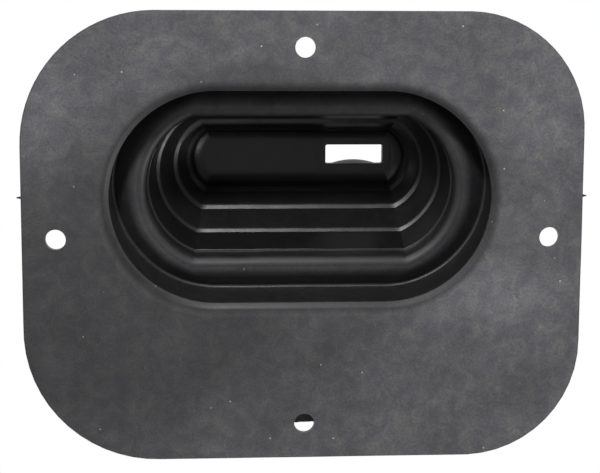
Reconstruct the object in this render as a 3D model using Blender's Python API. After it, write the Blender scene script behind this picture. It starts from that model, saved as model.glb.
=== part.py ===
"""Transfer case shifter boot: one moulded rubber piece, a flat flange with a leaning stepped bellows.

The flange's underside is z = 0 and the bellows rises along +Z from it. +X runs along the flange toward the lever
slot. The bellows stands off centre and leans toward -Y. All sizes below are in millimetres.
"""
from math import asin, atan2, ceil, cos, degrees, pi, radians, sin, sqrt, tan

import bmesh
import bpy

MM = 0.001

# The flange plate and its four screw holes
FLANGE_LENGTH = 228.6
FLANGE_WIDTH = 183.4
FLANGE_THICKNESS = 3.2
FLANGE_LEFT_CORNER = 54.0
FLANGE_RIGHT_CORNER = 47.7
FLANGE_EDGE_ROUND = 0.6
HOLE_DIAMETER = 8.3
HOLE_FROM_SHORT_EDGE = 13.6
HOLE_FROM_LONG_EDGE = 14.5

# The tags of flash that the mould left on the two short edges
TAG_LENGTH = 1.7
TAG_WIDTH = 1.0
TAG_THICKNESS = 0.8
TAG_Y = -17.0

# The oval rings of the bellows: half length of the straight part, centre at the flange, and lean per mm of height
STRAIGHT_HALF = 34.8
OVAL_X = -1.4
OVAL_Y = -16.7
LEAN_X = 0.038
LEAN_Y = -0.204
# Inside the widest ring the long sides are set in from the round ends, which leaves a crease where they meet
SIDE_INSET = 2.3
INSET_FROM = 43.0
INSET_OVER = 10.0

# The inside of the bellows from the flange up: half width of the ring, height, radius of the bend. The mouth rolls
# in, the first fold is a broad round ridge, and each step is a sharp crease, a round nose and a steep face behind it.
INSIDE_FOLDS = (
    (46.6, 0.0, 3.2),
    (44.6, 0.8, 3.0),
    (43.2, 2.1, 0.0),
    (43.6, 19.5, 1.1),
    (37.0, 14.7, 8.0),
    (28.7, 14.6, 3.3),
    (29.3, 21.2, 0.0),
    (28.4, 21.5, 0.7),
    (26.1, 36.0, 0.0),
    (23.7, 37.1, 3.4),
    (19.4, 46.4, 0.0),
    (17.2, 47.4, 3.0),
    (14.1, 53.6, 0.0),
    (12.1, 54.5, 2.2),
    (11.2, 58.0, 2.4),
    (7.6, 60.0, 7.5),
)
# The outside: a rounded rib over each step, with a groove behind it
OUTSIDE_FOLDS = (
    (45.4, 3.2, 2.0),
    (45.9, 22.2, 3.0),
    (33.4, 17.5, 0.9),
    (32.0, 23.2, 1.7),
    (30.4, 23.8, 0.8),
    (29.6, 38.8, 2.2),
    (25.9, 39.2, 0.9),
    (23.2, 49.0, 2.2),
    (19.0, 49.5, 0.9),
    (17.2, 56.4, 1.9),
    (13.9, 56.8, 0.8),
    (13.0, 63.0, 2.6),
)

# The lever slot in the end wall, the raised pad round it inside and the collar round it outside
SLOT_LENGTH = 25.4
SLOT_WIDTH = 8.4
SLOT_CORNER = 0.9
SLOT_X = 25.8
SLOT_Y = -29.4
PAD_MARGIN = 2.3
PAD_HEIGHT = 0.7
COLLAR_MARGIN = 2.6
COLLAR_HEIGHT = 1.6
RIM_ROUND = 0.5
LIP_LENGTH = 19.0
LIP_RISE = 1.6

END_STEPS = 20
SIDE_STEPS = 2
HOLE_STEPS = 24
BEND_STEP_DEGREES = 26.0
SHARP_FROM_DEGREES = 32.0


def clear_scene():
    for thing in list(bpy.data.objects):
        bpy.data.objects.remove(thing, do_unlink=True)


def smooth(value):
    value = min(1.0, max(0.0, value))
    return value * value * (3.0 - 2.0 * value)


def unit(a, b):
    length = sqrt((b[0] - a[0]) ** 2 + (b[1] - a[1]) ** 2)
    return (b[0] - a[0]) / length, (b[1] - a[1]) / length


def bend_points(before, corner, after, radius):
    """The points of the arc that rounds the corner of a path, or the corner itself where the radius is nothing."""
    if not radius:
        return [corner]
    into = unit(before, corner)
    out = unit(corner, after)
    turn = atan2(into[0] * out[1] - into[1] * out[0], into[0] * out[0] + into[1] * out[1])
    reach = radius * tan(abs(turn) / 2)
    side = 1.0 if turn > 0 else -1.0
    start = (corner[0] - into[0] * reach, corner[1] - into[1] * reach)
    centre = (start[0] - into[1] * radius * side, start[1] + into[0] * radius * side)
    steps = max(2, ceil(degrees(abs(turn)) / BEND_STEP_DEGREES))
    points = []
    for i in range(steps + 1):
        angle = turn * i / steps
        dx, dz = start[0] - centre[0], start[1] - centre[1]
        points.append((centre[0] + dx * cos(angle) - dz * sin(angle),
                       centre[1] + dx * sin(angle) + dz * cos(angle)))
    return points


def profile(folds):
    """Half width and height of every ring, from the flange to the end wall."""
    first, last = folds[0], folds[-1]
    corners = [(first[0] + 8.0, first[1])] + [fold[:2] for fold in folds] + [(0.0, last[1])]
    points = []
    for i, fold in enumerate(folds):
        points += bend_points(corners[i], corners[i + 1], corners[i + 2], fold[2])
    return points


def oval(half_width, height):
    """One closed ring: round ends of a slightly larger radius, cut by the two straight sides."""
    share = smooth((INSET_FROM - half_width) / INSET_OVER)
    radius = half_width + SIDE_INSET * share
    centre = STRAIGHT_HALF - SIDE_INSET * share
    reach = pi / 2 - asin(min(1.0, half_width / radius))
    x0 = OVAL_X + LEAN_X * height
    y0 = OVAL_Y + LEAN_Y * height
    ring = []
    for sign in (1, -1):
        for i in range(END_STEPS + 1):
            angle = -(pi / 2 - reach) + (pi - 2 * reach) * i / END_STEPS
            ring.append((x0 + sign * (centre + radius * cos(angle)), y0 + sign * radius * sin(angle), height))
        crease = centre + radius * sin(reach)
        for i in range(1, SIDE_STEPS):
            ring.append((x0 + sign * crease * (1 - 2 * i / SIDE_STEPS), y0 + sign * half_width, height))
    return ring


def rounded_box(length, width, radii, steps):
    """Corner points of a rounded rectangle about the origin, from the right end of its -Y side."""
    points = []
    corners = ((1, -1, -90), (1, 1, 0), (-1, 1, 90), (-1, -1, 180))
    for (sx, sy, start), radius in zip(corners, radii):
        for i in range(steps + 1):
            angle = radians(start + 90 * i / steps)
            points.append((sx * (length / 2 - radius) + radius * cos(angle),
                           sy * (width / 2 - radius) + radius * sin(angle)))
    return points


def slot_outline(margin, lip):
    """The lever slot set out by the margin. The lip bows its +Y side inward by lip times its rise."""
    length = SLOT_LENGTH + 2 * margin
    width = SLOT_WIDTH + 2 * margin
    corner = SLOT_CORNER + margin
    points = rounded_box(length, width, (corner,) * 4, 4)
    side = len(points) // 2
    lip_points = []
    for i in range(1, 12):
        along = SLOT_LENGTH / 2 - SLOT_CORNER - i * (SLOT_LENGTH - 2 * SLOT_CORNER) / 12
        bow = max(0.0, 1.0 - (2 * along / LIP_LENGTH) ** 2)
        lip_points.append((along, width / 2 - LIP_RISE * bow * lip))
    points = points[:side] + lip_points + points[side:]
    return [(SLOT_X + x, SLOT_Y + y) for x, y in points]


def loft(name, rings):
    """A closed solid through rings of equal count, with a flat face on the first and on the last."""
    shape = bmesh.new()
    loops = [[shape.verts.new([c * MM for c in point]) for point in ring] for ring in rings]
    for first, second in zip(loops, loops[1:]):
        for i in range(len(first)):
            after = (i + 1) % len(first)
            shape.faces.new((first[i], first[after], second[after], second[i]))
    shape.faces.new(loops[0])
    shape.faces.new(loops[-1])
    bmesh.ops.recalc_face_normals(shape, faces=shape.faces)
    data = bpy.data.meshes.new(name)
    shape.to_mesh(data)
    shape.free()
    return bpy.data.objects.new(name, data)


def plate(name, outline, low, high, edge_round):
    """A flat piece of the outline between two heights, with rounded edges: a filled 2D curve made a mesh."""
    curve = bpy.data.curves.new(name + " outline", "CURVE")
    curve.dimensions = "2D"
    curve.fill_mode = "BOTH"
    curve.extrude = ((high - low) / 2 - edge_round) * MM
    curve.bevel_depth = edge_round * MM
    curve.bevel_resolution = 1
    curve.offset = -edge_round * MM
    spline = curve.splines.new("POLY")
    spline.points.add(len(outline) - 1)
    for point, (x, y) in zip(spline.points, outline):
        point.co = (x * MM, y * MM, 0.0, 1.0)
    spline.use_cyclic_u = True
    guide = bpy.data.objects.new(name + " outline", curve)
    bpy.context.scene.collection.objects.link(guide)
    bpy.context.view_layer.update()
    data = bpy.data.meshes.new_from_object(guide.evaluated_get(bpy.context.evaluated_depsgraph_get()))
    bpy.data.objects.remove(guide)
    shape = bmesh.new()
    shape.from_mesh(data)
    bmesh.ops.remove_doubles(shape, verts=shape.verts, dist=0.00001)
    bmesh.ops.recalc_face_normals(shape, faces=shape.faces)
    bmesh.ops.translate(shape, verts=shape.verts, vec=(0.0, 0.0, (low + high) / 2 * MM))
    shape.to_mesh(data)
    shape.free()
    return bpy.data.objects.new(name, data)


def bellows_outside():
    """The bellows as a solid, its foot sunk halfway into the flange."""
    rings = [oval(b, z) for b, z in profile(OUTSIDE_FOLDS)]
    foot = [(x, y, FLANGE_THICKNESS / 2) for x, y, z in rings[0]]
    return loft("bellows outside", [foot] + rings)


def bellows_hollow():
    """The room inside the bellows, run out past the flange's underside."""
    rings = [oval(b, z) for b, z in profile(INSIDE_FOLDS)]
    mouth = oval(INSIDE_FOLDS[0][0] + INSIDE_FOLDS[0][2] + 1.0, -2.0)
    return loft("bellows hollow", [mouth] + rings)


def lever_slot(inside_end, outside_end):
    """The slot's cutter. The lip grows from nothing at the pad to its full rise at the collar."""
    levels = (
        (inside_end - 4.0, 0.0),
        (inside_end - PAD_HEIGHT, 0.0),
        (outside_end, 0.7),
        (outside_end + COLLAR_HEIGHT, 1.0),
        (outside_end + 4.0, 1.0),
    )
    return loft("lever slot", [[(x, y, z) for x, y in slot_outline(0.0, lip)] for z, lip in levels])


def screw_hole(x, y):
    bpy.ops.mesh.primitive_cylinder_add(
        vertices=HOLE_STEPS, radius=HOLE_DIAMETER / 2 * MM, depth=3 * FLANGE_THICKNESS * MM,
        location=(x * MM, y * MM, FLANGE_THICKNESS / 2 * MM))
    hole = bpy.context.object
    hole.name = "screw hole"
    return hole


def flash_tag(side):
    reach = 2.0
    bpy.ops.mesh.primitive_cube_add(
        size=1.0, location=(side * (FLANGE_LENGTH / 2 + (TAG_LENGTH - reach) / 2) * MM, TAG_Y * MM,
                            FLANGE_THICKNESS / 2 * MM),
        scale=((TAG_LENGTH + reach) * MM, TAG_WIDTH * MM, TAG_THICKNESS * MM))
    tag = bpy.context.object
    tag.name = "flash tag"
    return tag


def combine(target, other, operation, helpers):
    """Adds the Boolean to the target and puts the other shape away with the helpers."""
    for collection in other.users_collection:
        collection.objects.unlink(other)
    helpers.objects.link(other)
    other.hide_render = True
    other.display_type = "WIRE"
    boolean = target.modifiers.new(other.name, "BOOLEAN")
    boolean.operation = operation
    boolean.solver = "EXACT"
    boolean.object = other


def shade_smooth(boot):
    """Smooth shading on the joined and cut shape, with its creases and punched edges kept sharp."""
    bpy.context.view_layer.objects.active = boot
    boot.select_set(True)
    bpy.ops.object.shade_auto_smooth(angle=radians(SHARP_FROM_DEGREES))


def rubber_material():
    material = bpy.data.materials.new("matte moulded rubber")
    material.use_nodes = True
    surface = material.node_tree.nodes["Principled BSDF"]
    surface.inputs["Base Color"].default_value = (0.045, 0.045, 0.05, 1.0)
    surface.inputs["Roughness"].default_value = 0.55
    return material


def build_boot(parts, helpers):
    inside_end = INSIDE_FOLDS[-1][1]
    outside_end = OUTSIDE_FOLDS[-1][1]
    right, left = FLANGE_RIGHT_CORNER, FLANGE_LEFT_CORNER
    outline = rounded_box(FLANGE_LENGTH, FLANGE_WIDTH, (right, right, left, left), 12)
    boot = plate("boot", outline, 0.0, FLANGE_THICKNESS, FLANGE_EDGE_ROUND)
    boot.data.materials.append(rubber_material())
    parts.objects.link(boot)

    collar = plate("slot collar", slot_outline(COLLAR_MARGIN, 0.0), outside_end - 1.2,
                   outside_end + COLLAR_HEIGHT, RIM_ROUND)
    pad = plate("slot pad", slot_outline(PAD_MARGIN, 0.0), inside_end - PAD_HEIGHT,
                inside_end + 1.2, RIM_ROUND)
    combine(boot, bellows_outside(), "UNION", helpers)
    combine(boot, collar, "UNION", helpers)
    for side in (-1, 1):
        combine(boot, flash_tag(side), "UNION", helpers)
    combine(boot, bellows_hollow(), "DIFFERENCE", helpers)
    combine(boot, pad, "UNION", helpers)
    combine(boot, lever_slot(inside_end, outside_end), "DIFFERENCE", helpers)
    hole_x = FLANGE_LENGTH / 2 - HOLE_FROM_SHORT_EDGE
    hole_y = FLANGE_WIDTH / 2 - HOLE_FROM_LONG_EDGE
    for x, y in ((hole_x, 0), (-hole_x, 0), (0, hole_y), (0, -hole_y)):
        combine(boot, screw_hole(x, y), "DIFFERENCE", helpers)
    shade_smooth(boot)


def main():
    clear_scene()
    parts = bpy.data.collections.new("transfer case shifter boot")
    helpers = bpy.data.collections.new("cutters and joined shapes")
    bpy.context.scene.collection.children.link(parts)
    bpy.context.scene.collection.children.link(helpers)
    build_boot(parts, helpers)


main()
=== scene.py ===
"""A transfer case shifter boot, one rubber moulding, looked at from its hollow underside."""

from math import acos, atan2, ceil, cos, degrees, hypot, pi, radians, sin, tan

import bmesh
import bpy
from mathutils import Matrix, Vector
from mathutils.noise import noise


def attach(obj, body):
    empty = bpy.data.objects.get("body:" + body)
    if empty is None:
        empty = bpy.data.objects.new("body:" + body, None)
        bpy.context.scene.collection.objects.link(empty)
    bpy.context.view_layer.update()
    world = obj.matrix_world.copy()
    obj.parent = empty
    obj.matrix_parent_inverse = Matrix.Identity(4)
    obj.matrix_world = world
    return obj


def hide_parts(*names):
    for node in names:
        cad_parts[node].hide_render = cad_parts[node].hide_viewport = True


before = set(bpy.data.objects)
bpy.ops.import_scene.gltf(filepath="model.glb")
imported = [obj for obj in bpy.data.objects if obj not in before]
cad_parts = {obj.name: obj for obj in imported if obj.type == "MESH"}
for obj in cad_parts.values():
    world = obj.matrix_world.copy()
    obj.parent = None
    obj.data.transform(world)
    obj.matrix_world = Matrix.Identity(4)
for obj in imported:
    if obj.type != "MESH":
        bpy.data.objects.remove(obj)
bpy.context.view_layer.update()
MM = 0.001

# The ovals of the bellows. Every fold of the boot is an oval with two round ends and two straight sides.
# The moulding leans toward -Y, and above the widest ring the long sides are cut in from the round ends,
# so a crease runs up the bellows at each of its four corners.
STRAIGHT_HALF = 34.8
OVAL_X = -1.4
OVAL_Y = -16.7
LEAN_X = 0.038
LEAN_Y = -0.204
SIDE_INSET = 2.3
INSET_FROM = 43.0
INSET_OVER = 10.0
MOUTH_SHIFT = 0.7
MOUTH_DEPTH = 19.5
END_COLUMNS = 60
SIDE_COLUMNS = 40

columns = []
for end in (1, -1):
    for step in range(END_COLUMNS + 1):
        columns.append((end, "end", step / END_COLUMNS))
    for step in range(1, SIDE_COLUMNS):
        columns.append((end, "side", step / SIDE_COLUMNS))


def smooth(value):
    """A share from 0 to 1 that starts and ends gently."""
    value = min(1.0, max(0.0, value))
    return value * value * (3.0 - 2.0 * value)


def oval(half_width, height):
    """One ring of the bellows at this height, going round against the clock from the right end.

    The mouth sits a little nearer to +Y than the fold behind it."""
    shift = MOUTH_SHIFT * max(0.0, 1.0 - height / MOUTH_DEPTH)
    inset = smooth((INSET_FROM - half_width) / INSET_OVER)
    radius = half_width + SIDE_INSET * inset
    centre = STRAIGHT_HALF - SIDE_INSET * inset
    cut = acos(min(1.0, half_width / radius))
    ring = []
    for end, kind, share in columns:
        if kind == "end":
            angle = (2 * share - 1) * (pi / 2 - cut)
            x = centre + radius * cos(angle)
            y = radius * sin(angle)
        else:
            x = (1 - 2 * share) * (centre + radius * sin(cut))
            y = half_width
        ring.append((OVAL_X + LEAN_X * height + end * x, OVAL_Y + shift + LEAN_Y * height + end * y, height))
    return ring


def rounded_path(before, folds, after, arc_step, run_step):
    """Points down a folded section, with an arc at every fold and short runs between them.

    A fold is its place across, its height, the radius of its bend and how grey it is drawn, from bloom and in
    places from painted light and shade."""
    corners = [before] + [fold[:2] for fold in folds] + [after]
    points = []
    for i, (across, height, radius, bloom_and_light) in enumerate(folds):
        last, here, following = (Vector(corners[i + k]) for k in (0, 1, 2))
        into = (here - last).normalized()
        out = (following - here).normalized()
        turn = atan2(into.x * out.y - into.y * out.x, into.dot(out))
        start = here - into * radius * tan(abs(turn) / 2)
        side = 1.0 if turn > 0 else -1.0
        hub = start + Vector((-into.y, into.x)) * radius * side
        steps = max(2, ceil(degrees(abs(turn)) / arc_step))
        if points:
            first = Vector(points[-1])
            gap = Vector((start.x, start.y, bloom_and_light)) - first
            runs = max(1, ceil(gap.xy.length / run_step))
            points += [tuple(first + gap * k / runs) for k in range(1, runs)]
        for k in range(steps + 1):
            across, height = hub + Matrix.Rotation(turn * k / steps, 2) @ (start - hub)
            points.append((across, height, bloom_and_light))
    return points


# The bellows: a mouth that rolls in a little, a straight first wall, a dip with a broad round ridge, and four
# steps that get smaller toward the lever. Inside, each step is a narrow tread with a round nose and a steep
# face behind it, still nearly free of bloom. Outside, each is a rounded rib that has turned grey.
# From the mouth to the broad ridge the grey is partly bloom and partly painted: painted shade on the roll of
# the mouth, painted light on the crease, and a painted highlight along the ridge.
INSIDE_FOLDS = (
    (48.2, 0.0, 5.0, 1.0),
    (45.0, 0.8, 3.0, 0.36),
    (43.2, 2.1, 0.3, 0.36),
    (43.25, 3.4, 20.0, 0.1),
    (43.6, 19.5, 1.1, 0.13),
    (37.6, 15.3, 6.0, 0.17),
    (34.2, 13.5, 5.0, 0.42),
    (31.2, 13.3, 3.0, 0.26),
    (28.9, 15.6, 2.5, 0.1),
    (29.3, 21.3, 0.2, 0.06),
    (28.4, 21.5, 0.4, 0.04),
    (26.1, 36.0, 0.2, 0.03),
    (24.7, 36.7, 1.9, 0.03),
    (19.4, 46.4, 0.2, 0.02),
    (17.7, 47.2, 2.2, 0.02),
    (14.1, 53.6, 0.2, 0.0),
    (12.3, 55.0, 1.8, 0.02),
    (11.2, 58.0, 2.4, 0.0),
    (7.6, 60.0, 7.5, 0.02),
)
OUTSIDE_FOLDS = (
    (45.4, 3.2, 2.0, 0.6),
    (45.9, 22.2, 3.0, 0.5),
    (33.4, 17.5, 0.9, 0.3),
    (32.0, 23.2, 1.7, 0.45),
    (30.4, 23.8, 0.8, 0.3),
    (29.6, 38.8, 2.2, 0.5),
    (25.9, 39.2, 0.9, 0.3),
    (23.2, 49.0, 2.2, 0.5),
    (19.0, 49.5, 0.9, 0.3),
    (17.2, 56.4, 1.9, 0.5),
    (13.9, 56.8, 0.8, 0.3),
    (13.0, 63.0, 2.6, 0.5),
)
INSIDE_END = INSIDE_FOLDS[-1][1]
OUTSIDE_END = OUTSIDE_FOLDS[-1][1]
FLAT_BESIDE = 8.0
ARC_DEGREES = 9.0
RUN_LENGTH = 2.4
UNEVENNESS = 0.14
UNEVEN_SIZE = 13.0
UNEVEN_ABOVE = 6.0
UNEVEN_REACH = 60.0
UNEVEN_LIFT = 0.6
# The grey on the -Y side of the fold at 18.6 mm across is a painted highlight along its nose.
PAINTED_LINE_FOLD = 18.6
PAINTED_LINE_REACH = 2.0
PAINTED_LINE_FROM = 0.4
PAINTED_LINE_OVER = 0.5
PAINTED_LINE_GREY = 0.45


def bellows_skin(folds):
    """Rings of one skin from the flange to the end wall, with the slight unevenness that soft rubber has.

    Inside, the -Y side of one fold is painted grey, a painted highlight along its nose."""
    before = (folds[0][0] + FLAT_BESIDE, folds[0][1])
    path = rounded_path(before, folds, (0.0, folds[-1][1]), ARC_DEGREES, RUN_LENGTH)
    rings = []
    for half_width, height, bloom_and_light in path:
        painted_line = 0.0
        if folds is INSIDE_FOLDS:
            painted_line = PAINTED_LINE_GREY * smooth(PAINTED_LINE_REACH - abs(half_width - PAINTED_LINE_FOLD))
        ring = []
        for x, y, z in oval(half_width, height):
            uneven = UNEVENNESS * noise(Vector((x, y, z)) / UNEVEN_SIZE) * min(1.0, height / UNEVEN_ABOVE)
            toward = (OVAL_Y + LEAN_Y * z - y) / half_width
            far_side = smooth((toward - PAINTED_LINE_FROM) / PAINTED_LINE_OVER)
            ring.append((x * (1 + uneven / UNEVEN_REACH), y + uneven, z + uneven * UNEVEN_LIFT,
                         bloom_and_light + painted_line * far_side))
        rings.append(ring)
    return rings


inside_rings = bellows_skin(INSIDE_FOLDS)
outside_rings = bellows_skin(OUTSIDE_FOLDS)

# The flange, a flat sheet that the floor screws hold down. Its corners are wide curves, larger on the left.
# A hair of flash stands along the middle of its edge, where the two halves of the mould met. The grey on its
# underside is thinner toward -X and +Y
# and paler or darker in a few places: partly uneven bloom, partly painted shade and painted light, with
# painted shade where the flange rolls into the mouth at -Y.
FLANGE_LENGTH = 228.6
FLANGE_WIDTH = 183.4
FLANGE_THICKNESS = 3.2
FLANGE_LEFT_CORNER = 54.0
FLANGE_RIGHT_CORNER = 47.7
FLANGE_EDGE_ROUND = 0.6
EDGE_STEPS = 5
PARTING_FLASH = 0.12
FLASH_HALF_HEIGHT = 0.16
FLANGE_ROWS = 18
FAR_OUT = 200.0
HALVINGS = 40
HOLE_DIAMETER = 8.3
HOLES = ((100.7, 0.0), (-100.7, 0.0), (0.0, 77.2), (0.0, -77.2))
SHEET_WAVE = 0.45
WAVE_LENGTH = 62.0
WAVE_MEAN = 0.5
WAVE_SWING = 0.9
WAVE_SEED = 3.7
WAVE_FULL_AT = 0.6
FLAT_ROUND_HOLE = 12.0
TOP_FACE_BLOOM = 0.6
# The underside's grey is thinner toward -X and +Y: partly thin bloom and partly painted shade.
THIN_BLOOM_AND_SHADE_X = -118.0
THIN_BLOOM_AND_SHADE_Y = 33.0
THIN_BLOOM_AND_SHADE_LENGTH = 208.0
THIN_BLOOM_AND_SHADE_WIDTH = 86.0
THIN_BLOOM_AND_SHADE_SHARE = 0.56
THIN_BLOOM_AND_SHADE_FADE = 0.65
# Paler and darker patches on the underside: painted light, painted shade where the flange rolls into the
# mouth at -Y, and some real unevenness of the bloom.
BLOOM_AND_LIGHT_PATCHES = (
    (80.0, 25.0, 46.0, 20.0, 0.44),
    (99.0, -57.0, 24.0, 36.0, 0.38),
    (-105.0, -49.0, 14.0, 26.0, 0.28),
    (87.0, 66.0, 28.0, 18.0, -0.18),
    (-20.0, -66.0, 52.0, 8.0, -0.28),
    (-68.0, -53.0, 20.0, 12.0, -0.28),
    (-88.0, -27.0, 16.0, 18.0, -0.28),
)
BLOOM_AND_LIGHT_PATCH_FADE = 0.8
PATCH_LENGTH = 21.0
PATCH_WIDTH = 16.0
PATCH_SEED = 9.1
PATCH_SHARE = 0.16


def bloom_and_light_cover(x, y):
    """How grey the underside is here: its bloom, thinned and thickened in places to paint shade and light.

    A patch is its place, its length, its width and how much it adds to the grey or takes off."""
    patchy = PATCH_SHARE * noise(Vector((x / PATCH_LENGTH, y / PATCH_WIDTH, PATCH_SEED)))
    away = hypot((x - THIN_BLOOM_AND_SHADE_X) / THIN_BLOOM_AND_SHADE_LENGTH, (y - THIN_BLOOM_AND_SHADE_Y) / THIN_BLOOM_AND_SHADE_WIDTH)
    cover = 1.0 - THIN_BLOOM_AND_SHADE_SHARE * smooth((1.0 - away) / THIN_BLOOM_AND_SHADE_FADE + patchy)
    for mark_x, mark_y, length, width, share in BLOOM_AND_LIGHT_PATCHES:
        away = hypot((x - mark_x) / length, (y - mark_y) / width)
        cover += share * smooth((1.0 - away) / BLOOM_AND_LIGHT_PATCH_FADE + patchy)
    return cover


def beyond_outline(x, y, inset):
    """Whether this place lies past the flange's outline, moved in by the inset."""
    corner = FLANGE_RIGHT_CORNER if x > 0 else FLANGE_LEFT_CORNER
    across = abs(x) - (FLANGE_LENGTH / 2 - corner)
    along = abs(y) - (FLANGE_WIDTH / 2 - corner)
    if across > 0 and along > 0:
        return hypot(across, along) > corner - inset
    return across > corner - inset or along > corner - inset


def outline_point(column, x, y, inset):
    """Where the flange ends, straight out from this point of an oval."""
    end, kind, share = column
    angle = (2 * share - 1) * pi / 2 if kind == "end" else pi / 2
    dx, dy = end * cos(angle), end * sin(angle)
    near, far = 0.0, FAR_OUT
    for _ in range(HALVINGS):
        middle = (near + far) / 2
        if beyond_outline(x + dx * middle, y + dy * middle, inset):
            far = middle
        else:
            near = middle
    return x + dx * near, y + dy * near


def sheet_wave(x, y, share):
    """How far the soft sheet lifts off the floor here. It lies flat round the bellows and round the holes."""
    swell = WAVE_MEAN + WAVE_SWING * noise(Vector((x / WAVE_LENGTH, y / WAVE_LENGTH, WAVE_SEED)))
    from_hole = min(hypot(x - hole_x, y - hole_y) for hole_x, hole_y in HOLES)
    flat = smooth(share / WAVE_FULL_AT) * smooth(from_hole / FLAT_ROUND_HOLE - 1.0)
    return SHEET_WAVE * max(0.0, swell) * flat


def flange_skin(root_ring, height, bloom_and_light):
    """Rings of one face of the flange, from the bellows out to the rounded edge."""
    rings = []
    for row in range(1, FLANGE_ROWS + 1):
        share = row / FLANGE_ROWS
        ring = []
        for column, (x, y, z, _) in zip(columns, root_ring):
            end_x, end_y = outline_point(column, x, y, FLANGE_EDGE_ROUND)
            here_x = x + (end_x - x) * share
            here_y = y + (end_y - y) * share
            ring.append((here_x, here_y, height + sheet_wave(here_x, here_y, share), bloom_and_light))
        rings.append(ring)
    return rings


def flange_edge(root_ring):
    """Rings round the edge from the underside to the top face."""
    middle = FLANGE_THICKNESS / 2
    steps = []
    for k in range(1, EDGE_STEPS + 1):
        turn = pi / 2 * k / EDGE_STEPS
        steps.append((FLANGE_EDGE_ROUND * (1 - sin(turn)), FLANGE_EDGE_ROUND * (1 - cos(turn))))
    section = steps + [(0.0, middle - FLASH_HALF_HEIGHT), (-PARTING_FLASH, middle),
                       (0.0, middle + FLASH_HALF_HEIGHT)]
    section += [(inset, FLANGE_THICKNESS - height) for inset, height in reversed(steps)]
    rings = []
    for inset, height in section:
        ring = []
        for column, (x, y, z, _) in zip(columns, root_ring):
            edge_x, edge_y = outline_point(column, x, y, inset)
            ring.append((edge_x, edge_y, height + sheet_wave(edge_x, edge_y, 1.0), TOP_FACE_BLOOM))
        rings.append(ring)
    return rings


underside_rings = flange_skin(inside_rings[0], 0.0, 1.0)
top_face_rings = flange_skin(outside_rings[0], FLANGE_THICKNESS, TOP_FACE_BLOOM)
edge_rings = flange_edge(inside_rings[0])

# The end wall with the slot that the flat lever comes through. A shallow pad thickens the wall inside and a
# collar stands round the slot outside. An arched lip on one long side presses against the lever.
SLOT_LENGTH = 25.4
SLOT_WIDTH = 8.4
SLOT_CORNER = 0.9
SLOT_X = 25.8
SLOT_Y = -29.4
PAD_TOP = 2.7
PAD_FOOT = 4.7
PAD_HEIGHT = 0.25
COLLAR_MARGIN = 2.6
COLLAR_HEIGHT = 1.6
LIP_LENGTH = 19.0
LIP_RISE = 1.6
CORNER_SHARE = 0.35
SLOT_ARC_DEGREES = 18.0
SLOT_RUN_LENGTH = 0.8
WALL_ROWS = 5


def slot_ring(margin, height, bloom_and_light):
    """The slot's outline set out by the margin. The lip grows from the pad to the collar."""
    half_length = SLOT_LENGTH / 2 + margin
    half_width = SLOT_WIDTH / 2 + margin
    corner = SLOT_CORNER + margin
    pad_face = INSIDE_END - PAD_HEIGHT
    grown = (height - pad_face) / (OUTSIDE_END + COLLAR_HEIGHT - pad_face)
    lip = LIP_RISE * grown * max(0.0, 1 - margin / COLLAR_MARGIN)
    ring = []
    for end, kind, share in columns:
        if kind == "side":
            x = (1 - 2 * share) * (half_length - corner)
            bow = max(0.0, 1 - (2 * x / LIP_LENGTH) ** 2) if end == 1 else 0.0
            y = half_width - lip * bow
        elif share < CORNER_SHARE:
            angle = pi / 2 * (share / CORNER_SHARE - 1)
            x = half_length - corner + corner * cos(angle)
            y = corner - half_width + corner * sin(angle)
        elif share > 1 - CORNER_SHARE:
            angle = pi / 2 * (1 - (1 - share) / CORNER_SHARE)
            x = half_length - corner + corner * cos(angle)
            y = half_width - corner + corner * sin(angle)
        else:
            x = half_length
            y = (half_width - corner) * (2 * (share - CORNER_SHARE) / (1 - 2 * CORNER_SHARE) - 1)
        ring.append((SLOT_X + end * x, SLOT_Y + end * y, height, bloom_and_light))
    return ring


def between(first, last, rows):
    """Rings that lie between two others, without the two themselves."""
    return [[tuple(a + (b - a) * row / rows for a, b in zip(p, q)) for p, q in zip(first, last)]
            for row in range(1, rows)]


slot_folds = (
    (PAD_FOOT, INSIDE_END, 2.0, 0.02),
    (PAD_TOP, INSIDE_END - PAD_HEIGHT, 2.0, 0.06),
    (0.0, INSIDE_END - PAD_HEIGHT, 0.25, 0.05),
    (0.0, OUTSIDE_END + COLLAR_HEIGHT, 0.25, 1.0),
    (COLLAR_MARGIN, OUTSIDE_END + COLLAR_HEIGHT, 0.5, 0.55),
    (COLLAR_MARGIN, OUTSIDE_END, 0.4, 0.4),
)
slot_path = rounded_path((PAD_FOOT + FLAT_BESIDE, INSIDE_END), slot_folds,
                         (COLLAR_MARGIN + FLAT_BESIDE, OUTSIDE_END), SLOT_ARC_DEGREES, SLOT_RUN_LENGTH)
slot_rings = [slot_ring(margin, height, bloom_and_light) for margin, height, bloom_and_light in slot_path]
inside_wall_rings = between(inside_rings[-1], slot_rings[0], WALL_ROWS)
outside_wall_rings = between(slot_rings[-1], outside_rings[-1], WALL_ROWS)

# The boot as it leaves the mould: all the skins sewn into one closed surface, which takes the place of the
# plain solid. The grey value of a point tells how grey the rubber is drawn there: its bloom, and in places
# painted light and shade.
CREASE_DEGREES = 14.0

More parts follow.
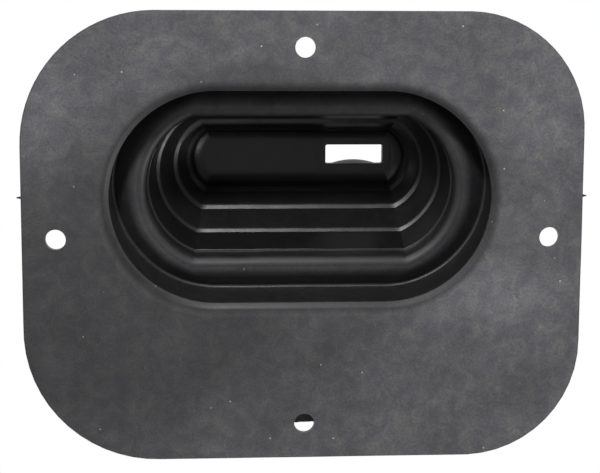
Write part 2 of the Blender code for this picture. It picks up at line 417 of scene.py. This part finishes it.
skins = (underside_rings[::-1], inside_rings, inside_wall_rings, slot_rings, outside_wall_rings,
         outside_rings[::-1], top_face_rings, edge_rings[::-1])
surface = bmesh.new()
bloom_and_light_layer = surface.verts.layers.float.new("bloom_and_light")
loops = []
for ring in (ring for rings in skins for ring in rings):
    loop = []
    for x, y, z, bloom_and_light in ring:
        point = surface.verts.new((x * MM, y * MM, z * MM))
        point[bloom_and_light_layer] = bloom_and_light * bloom_and_light_cover(x, y) if z < FLANGE_THICKNESS / 2 else bloom_and_light
        loop.append(point)
    loops.append(loop)
for first, second in zip(loops, loops[1:] + loops[:1]):
    for i in range(len(columns)):
        following = (i + 1) % len(columns)
        surface.faces.new((first[i], first[following], second[following], second[i]))
bmesh.ops.recalc_face_normals(surface, faces=surface.faces)
boot_mesh = bpy.data.meshes.new("moulded boot")
surface.to_mesh(boot_mesh)
surface.free()
boot = bpy.data.objects.new("moulded_boot", boot_mesh)
bpy.context.scene.collection.objects.link(boot)

# The four screw holes, one in the middle of each side. They are plain holes that the mould's pins leave.
# Their walls are dark, and the faces round them keep the flange's grey right up to the rim.
PIN_LENGTH = 20.0
PIN_SIDES = 64
RIM_REACH = 0.1
HOLE_WALL_BLOOM = 0.1

for x, y in HOLES:
    bpy.ops.mesh.primitive_cylinder_add(vertices=PIN_SIDES, radius=HOLE_DIAMETER / 2 * MM,
                                        depth=PIN_LENGTH * MM, location=(x * MM, y * MM, 0.0))
    pin = bpy.context.object
    cut = boot.modifiers.new("screw hole", "BOOLEAN")
    cut.object = pin
    cut.solver = "EXACT"
    with bpy.context.temp_override(object=boot, active_object=boot):
        bpy.ops.object.modifier_apply(modifier=cut.name)
    bpy.data.objects.remove(pin)
boot.data.shade_smooth()
boot.data.set_sharp_from_angle(angle=radians(CREASE_DEGREES))

point_bloom_and_light = [item.value for item in boot.data.attributes["bloom_and_light"].data]
at_hole = [any(hypot(v.co.x / MM - x, v.co.y / MM - y) < HOLE_DIAMETER / 2 + RIM_REACH for x, y in HOLES)
           for v in boot.data.vertices]
boot.data.attributes.remove(boot.data.attributes["bloom_and_light"])
corner_bloom_and_light = boot.data.attributes.new("bloom_and_light", "FLOAT", "CORNER").data
for face in boot.data.polygons:
    for corner, v in zip(face.loop_indices, face.vertices):
        if not at_hole[v]:
            bloom_and_light = point_bloom_and_light[v]
        elif abs(face.normal.z) < 0.5:
            bloom_and_light = HOLE_WALL_BLOOM
        elif face.normal.z < 0:
            bloom_and_light = bloom_and_light_cover(*(boot.data.vertices[v].co.xy / MM))
        else:
            bloom_and_light = TOP_FACE_BLOOM
        corner_bloom_and_light[corner].value = bloom_and_light
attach(boot, "root")
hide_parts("boot")

# The rubber, a carbon black EPDM that was compression moulded. Its flange has a dry grey bloom of wax that
# hides the gloss, with paler smears and specks of dust, and the folds inside are still dark and half glossy.
# The grain that the mould leaves is too fine to show, so it is drawn at 0.8 mm.
BLOOM_GREY = "#505055"
FRESH_BLACK = "#121213"
SMEAR_GREY = "#656562"
DUST_WHITE = "#C9C9C6"
MOTTLE_SIZE = 24.0
SMEAR_SIZE = 6.0
GRAIN_SIZE = 0.8
GRAIN_DEPTH = 0.05
DUST_SIZE = 9.0
FRESH_ROUGHNESS = (0.30, 0.40)
DRY_ROUGHNESS = 0.68
GLOSS_GONE_AT = 0.5


def linear(hex_colour):
    """An sRGB hex value as the linear colour that a shader takes."""
    parts = [int(hex_colour[i:i + 2], 16) / 255 for i in (1, 3, 5)]
    return tuple(p / 12.92 if p <= 0.04045 else ((p + 0.055) / 1.055) ** 2.4 for p in parts) + (1.0,)


def add(tree, kind, settings, links=()):
    """A node with its settings, by property or socket, and its links from other sockets."""
    node = tree.nodes.new(kind)
    for name, value in settings.items():
        if isinstance(name, int) or name in node.inputs:
            node.inputs[name].default_value = value
        else:
            setattr(node, name, value)
    for name, source in dict(links).items():
        tree.links.new(source, node.inputs[name])
    return node


def per_mm(size):
    """The scale that gives a pattern this many millimetres between its features."""
    return 1.0 / (size * MM)


rubber = bpy.data.materials.new("compression moulded EPDM rubber")
rubber.use_nodes = True
tree = rubber.node_tree
tree.nodes.clear()
place = add(tree, "ShaderNodeTexCoord", {}).outputs["Object"]
# The grey read here is the bloom, and in places painted light, painted shade and a painted highlight.
bloom_and_light_value = add(tree, "ShaderNodeAttribute", {"attribute_name": "bloom_and_light"}).outputs["Fac"]
mottle = add(tree, "ShaderNodeTexNoise", {"Scale": per_mm(MOTTLE_SIZE), "Detail": 5.0, "Roughness": 0.6},
             {"Vector": place}).outputs["Fac"]
smear = add(tree, "ShaderNodeTexNoise", {"Scale": per_mm(SMEAR_SIZE), "Detail": 8.0, "Roughness": 0.72,
                                         "Distortion": 0.8}, {"Vector": place}).outputs["Fac"]
grain = add(tree, "ShaderNodeTexNoise", {"Scale": per_mm(GRAIN_SIZE), "Detail": 3.0, "Roughness": 0.7},
            {"Vector": place}).outputs["Fac"]
smear_share = add(tree, "ShaderNodeMapRange",
                  {"From Min": 0.42, "From Max": 0.72, "To Min": 0.0, "To Max": 0.9},
                  {"Value": smear}).outputs["Result"]
mottle_share = add(tree, "ShaderNodeMapRange",
                   {"From Min": 0.3, "From Max": 0.7, "To Min": 0.8, "To Max": 1.2},
                   {"Value": mottle}).outputs["Result"]
grain_share = add(tree, "ShaderNodeMapRange",
                  {"From Min": 0.3, "From Max": 0.7, "To Min": 0.74, "To Max": 1.26},
                  {"Value": grain}).outputs["Result"]
grey = add(tree, "ShaderNodeMix", {"data_type": "RGBA", 6: linear(BLOOM_GREY), 7: linear(SMEAR_GREY)},
           {0: smear_share}).outputs[2]
shade = add(tree, "ShaderNodeMath", {"operation": "MULTIPLY"}, {0: mottle_share, 1: grain_share}).outputs[0]
shaded_grey = add(tree, "ShaderNodeMix", {"data_type": "RGBA", "blend_type": "MULTIPLY", 0: 1.0},
                  {6: grey, 7: shade}).outputs[2]
colour = add(tree, "ShaderNodeMix", {"data_type": "RGBA", "clamp_factor": False, 6: linear(FRESH_BLACK)},
             {0: bloom_and_light_value, 7: shaded_grey}).outputs[2]
specks = add(tree, "ShaderNodeTexVoronoi", {"Scale": per_mm(DUST_SIZE)},
             {"Vector": place}).outputs["Distance"]
speck = add(tree, "ShaderNodeMapRange", {"From Min": 0.045, "From Max": 0.03, "To Min": 0.0, "To Max": 0.7},
            {"Value": specks}).outputs["Result"]
dust = add(tree, "ShaderNodeMath", {"operation": "MULTIPLY"}, {0: speck, 1: bloom_and_light_value}).outputs[0]
dusty = add(tree, "ShaderNodeMix", {"data_type": "RGBA", 7: linear(DUST_WHITE)},
            {0: dust, 6: colour}).outputs[2]
fresh_roughness = add(tree, "ShaderNodeMapRange",
                      {"From Min": 0.35, "From Max": 0.65,
                       "To Min": FRESH_ROUGHNESS[0], "To Max": FRESH_ROUGHNESS[1]},
                      {"Value": smear}).outputs["Result"]
gloss_hidden = add(tree, "ShaderNodeMath",
                   {"operation": "MULTIPLY", 1: 1.0 / GLOSS_GONE_AT, "use_clamp": True},
                   {0: bloom_and_light_value}).outputs[0]
roughness = add(tree, "ShaderNodeMix", {"data_type": "FLOAT", 3: DRY_ROUGHNESS},
                {0: gloss_hidden, 2: fresh_roughness}).outputs[0]
bump = add(tree, "ShaderNodeBump", {"Strength": 0.2, "Distance": GRAIN_DEPTH * MM},
           {"Height": grain}).outputs["Normal"]
skin = add(tree, "ShaderNodeBsdfPrincipled", {"IOR": 1.5},
           {"Base Color": dusty, "Roughness": roughness, "Normal": bump})
add(tree, "ShaderNodeOutputMaterial", {}, {"Surface": skin.outputs["BSDF"]})
boot.data.materials.clear()
boot.data.materials.append(rubber)

# The flash tags, one on each short edge of the flange, where rubber squeezed into the vents of the mould.
# Each tapers to a blunt tip. A row is its share of the way out, its width and its thickness.
TAG_ROOT = FLANGE_LENGTH / 2 - 0.8
TAG_TIP = FLANGE_LENGTH / 2 + 1.7
TAG_Y = -17.0
TAG_ROWS = ((0.0, 1.6, 0.8), (0.5, 1.0, 0.4), (1.0, 0.44, 0.24))
TAG_SIDES = 12

for end, name in ((-1, "flash_tag_left"), (1, "flash_tag_right")):
    fin = bmesh.new()
    rings = []
    for share, width, thickness in TAG_ROWS:
        x = end * (TAG_ROOT + (TAG_TIP - TAG_ROOT) * share)
        ring = []
        for k in range(TAG_SIDES):
            angle = 2 * pi * k / TAG_SIDES
            y = TAG_Y + width / 2 * cos(angle)
            z = FLANGE_THICKNESS / 2 + thickness / 2 * sin(angle)
            ring.append(fin.verts.new((x * MM, y * MM, z * MM)))
        rings.append(ring)
    for first, second in zip(rings, rings[1:]):
        for i in range(TAG_SIDES):
            following = (i + 1) % TAG_SIDES
            fin.faces.new((first[i], first[following], second[following], second[i]))
    fin.faces.new(rings[0])
    fin.faces.new(rings[-1])
    bmesh.ops.recalc_face_normals(fin, faces=fin.faces)
    tag_mesh = bpy.data.meshes.new(name)
    fin.to_mesh(tag_mesh)
    fin.free()
    tag_mesh.shade_smooth()
    tag_mesh.materials.append(rubber)
    tag = bpy.data.objects.new(name, tag_mesh)
    bpy.context.scene.collection.objects.link(tag)
    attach(tag, "root")

# A thin dark sheet that closes half of the hole on the +Y side, put in the hole where there is shade: painted
# shade seen through that half of the hole. Its free edge is a little ragged.
SHADE_SHEET_THICKNESS = 0.5
SHADE_SHEET_HEIGHT = 2.3
SHADE_SHEET_OVERLAP = 0.15
SHADE_SHEET_RIM_STEPS = 24
SHADE_SHEET_EDGE_STEPS = 8
SHADE_SHEET_EDGE_AT = 0.15
SHADE_SHEET_EDGE_SLANT = 0.05
SHADE_SHEET_EDGE_RAGGED = 0.2
SHADE_SHEET_EDGE_NOTCH = 0.6

shade_sheet_x, shade_sheet_y = HOLES[2]
outer = HOLE_DIAMETER / 2 + SHADE_SHEET_OVERLAP
shade_sheet_outline = []
for k in range(SHADE_SHEET_RIM_STEPS + 1):
    angle = pi * k / SHADE_SHEET_RIM_STEPS
    shade_sheet_outline.append((outer * cos(angle), -outer * sin(angle)))
for k in range(1, SHADE_SHEET_EDGE_STEPS):
    ragged = SHADE_SHEET_EDGE_RAGGED * noise(Vector((k * SHADE_SHEET_EDGE_NOTCH, 0.0, 0.0)))
    shade_sheet_outline.append((outer * (2 * k / SHADE_SHEET_EDGE_STEPS - 1), SHADE_SHEET_EDGE_AT + ragged - SHADE_SHEET_EDGE_SLANT * k))
shade_sheet_bmesh = bmesh.new()
sheet = shade_sheet_bmesh.faces.new([shade_sheet_bmesh.verts.new(((shade_sheet_x + x) * MM, (shade_sheet_y + y) * MM, SHADE_SHEET_HEIGHT * MM))
                       for x, y in shade_sheet_outline])
raised = bmesh.ops.extrude_face_region(shade_sheet_bmesh, geom=[sheet])
bmesh.ops.translate(shade_sheet_bmesh, vec=(0.0, 0.0, SHADE_SHEET_THICKNESS * MM),
                    verts=[item for item in raised["geom"] if isinstance(item, bmesh.types.BMVert)])
bmesh.ops.recalc_face_normals(shade_sheet_bmesh, faces=shade_sheet_bmesh.faces)
shade_sheet_mesh = bpy.data.meshes.new("shade_sheet_in_hole")
shade_sheet_bmesh.to_mesh(shade_sheet_mesh)
shade_sheet_bmesh.free()
shade_sheet_mesh.materials.append(rubber)
shade_sheet_in_hole = bpy.data.objects.new("shade_sheet_in_hole", shade_sheet_mesh)
bpy.context.scene.collection.objects.link(shade_sheet_in_hole)
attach(shade_sheet_in_hole, "root")

# The studio floor, pale matte paper that the flange lies on. It is cut out under the boot, so that the lamps
# below reach the hollow, and it lets a camera below see through it. A patch that only a camera sees fills the
# cut. Far away the paper fades into the white of the room, so no edge of it shows.
PAPER_WHITE = "#EDEDEB"
FLOOR_RADIUS = 4000.0
FLOOR_BELOW = 0.4
FADE_FROM = 700.0
FADE_TO = 1800.0
CUT_INSET = -1.0

paper = bpy.data.materials.new("pale studio paper")
paper.use_nodes = True
tree = paper.node_tree
tree.nodes.clear()
matte = add(tree, "ShaderNodeBsdfDiffuse", {"Color": linear(PAPER_WHITE)})
clear = add(tree, "ShaderNodeBsdfTransparent", {})
below = add(tree, "ShaderNodeNewGeometry", {}).outputs["Backfacing"]
spot = add(tree, "ShaderNodeTexCoord", {}).outputs["Object"]
away = add(tree, "ShaderNodeVectorMath", {"operation": "LENGTH"}, {0: spot}).outputs["Value"]
fade = add(tree, "ShaderNodeMapRange", {"From Min": FADE_FROM * MM, "From Max": FADE_TO * MM},
           {"Value": away}).outputs["Result"]
unseen = add(tree, "ShaderNodeMath", {"operation": "MAXIMUM"}, {0: below, 1: fade}).outputs[0]
seen = add(tree, "ShaderNodeMixShader", {}, {0: unseen, 1: matte.outputs[0], 2: clear.outputs[0]})
add(tree, "ShaderNodeOutputMaterial", {}, {"Surface": seen.outputs[0]})

cut_outline = [outline_point(column, x, y, CUT_INSET) for column, (x, y, *_) in zip(columns, inside_rings[0])]
far_outline = [(FLOOR_RADIUS * x / hypot(x, y), FLOOR_RADIUS * y / hypot(x, y)) for x, y in cut_outline]
ground = bmesh.new()
near_loop = [ground.verts.new((x * MM, y * MM, -FLOOR_BELOW * MM)) for x, y in cut_outline]
far_loop = [ground.verts.new((x * MM, y * MM, -FLOOR_BELOW * MM)) for x, y in far_outline]
for i in range(len(columns)):
    following = (i + 1) % len(columns)
    ground.faces.new((near_loop[i], far_loop[i], far_loop[following], near_loop[following]))
floor_mesh = bpy.data.meshes.new("studio floor")
ground.to_mesh(floor_mesh)
ground.free()
cover = bmesh.new()
cover.faces.new([cover.verts.new((x * MM, y * MM, -FLOOR_BELOW * MM)) for x, y in cut_outline])
patch_mesh = bpy.data.meshes.new("floor patch")
cover.to_mesh(patch_mesh)
cover.free()
for name, mesh in (("studio_floor", floor_mesh), ("floor_patch", patch_mesh)):
    mesh.materials.append(paper)
    stage = bpy.data.objects.new(name, mesh)
    bpy.context.scene.collection.objects.link(stage)
    if name == "floor_patch":
        stage.visible_diffuse = False
        stage.visible_glossy = False
        stage.visible_transmission = False
        stage.visible_shadow = False

# The studio light. Three lamps below the floor light the hollow, the strongest from the picture's top, with
# a dim room behind the camera. Above the floor are a pale room and two soft boxes, low enough not to shine
# through the slot. A lamp has its place and size in metres, and its watts.
ROOM_ABOVE = 0.75
ROOM_BELOW = 0.22
BEHIND_CAMERA = 0.42
LAMPS = (
    ("lamp at the picture's top", (-0.150, -0.645, -0.566), 0.14, 4.9),
    ("lamp at the picture's right", (0.673, 0.388, -0.346), 0.30, 3.3),
    ("lamp at the picture's upper left", (-0.470, -0.440, -0.560), 0.20, 0.75),
    ("soft box at the back", (-0.60, 1.35, 0.50), 0.5, 18.0),
    ("soft box at the front", (0.80, -1.15, 0.48), 0.5, 15.0),
)

studio = bpy.data.worlds.new("pale studio")
bpy.context.scene.world = studio
studio.use_nodes = True
tree = studio.node_tree
tree.nodes.clear()
direction = add(tree, "ShaderNodeTexCoord", {}).outputs["Generated"]
height = add(tree, "ShaderNodeSeparateXYZ", {}, {0: direction}).outputs["Z"]
below = add(tree, "ShaderNodeMapRange",
            {"From Min": -1.0, "From Max": -0.8, "To Min": BEHIND_CAMERA, "To Max": ROOM_BELOW},
            {"Value": height}).outputs["Result"]
above = add(tree, "ShaderNodeMapRange", {"From Min": -0.05, "From Max": 0.05},
            {"Value": height}).outputs["Result"]
room = add(tree, "ShaderNodeMix", {"data_type": "FLOAT", 3: ROOM_ABOVE}, {0: above, 2: below}).outputs[0]
camera_ray = add(tree, "ShaderNodeLightPath", {}).outputs["Is Camera Ray"]
strength = add(tree, "ShaderNodeMix", {"data_type": "FLOAT", 3: 1.0}, {0: camera_ray, 2: room}).outputs[0]
backdrop = add(tree, "ShaderNodeBackground", {"Color": (1.0, 1.0, 1.0, 1.0)}, {"Strength": strength})
add(tree, "ShaderNodeOutputWorld", {}, {"Surface": backdrop.outputs[0]})

for name, position, size, watts in LAMPS:
    lamp = bpy.data.lights.new(name, "AREA")
    lamp.size = size
    lamp.energy = watts
    light = bpy.data.objects.new(name, lamp)
    light.location = position
    light.rotation_euler = (-Vector(position)).to_track_quat("-Z", "Y").to_euler()
    light.visible_camera = False
    bpy.context.scene.collection.objects.link(light)

# The camera, below the floor and looking up into the hollow with the lever slot at the picture's upper right.
# Its place is in millimetres, with the directions of the picture's right side, its lower side and the view.
CAMERA_PLACE = (-42.27, -85.86, -609.52)
CAMERA_RIGHT = (0.9979, -0.0035, -0.0654)
CAMERA_DOWN = (-0.0056, 0.9905, -0.1377)
CAMERA_AHEAD = (0.0652, 0.1378, 0.9883)
CAMERA_LENS = 91.02

camera = bpy.data.cameras.new("camera")
camera.lens = CAMERA_LENS
camera.sensor_width = 36.0
camera.clip_start = 0.01
view = bpy.data.objects.new("camera", camera)
view.matrix_world = Matrix([
    (CAMERA_RIGHT[i], -CAMERA_DOWN[i], -CAMERA_AHEAD[i], CAMERA_PLACE[i] * MM) for i in range(3)
] + [(0.0, 0.0, 0.0, 1.0)])
bpy.context.scene.collection.objects.link(view)
bpy.context.scene.camera = view
bpy.context.scene.view_settings.view_transform = "Standard"
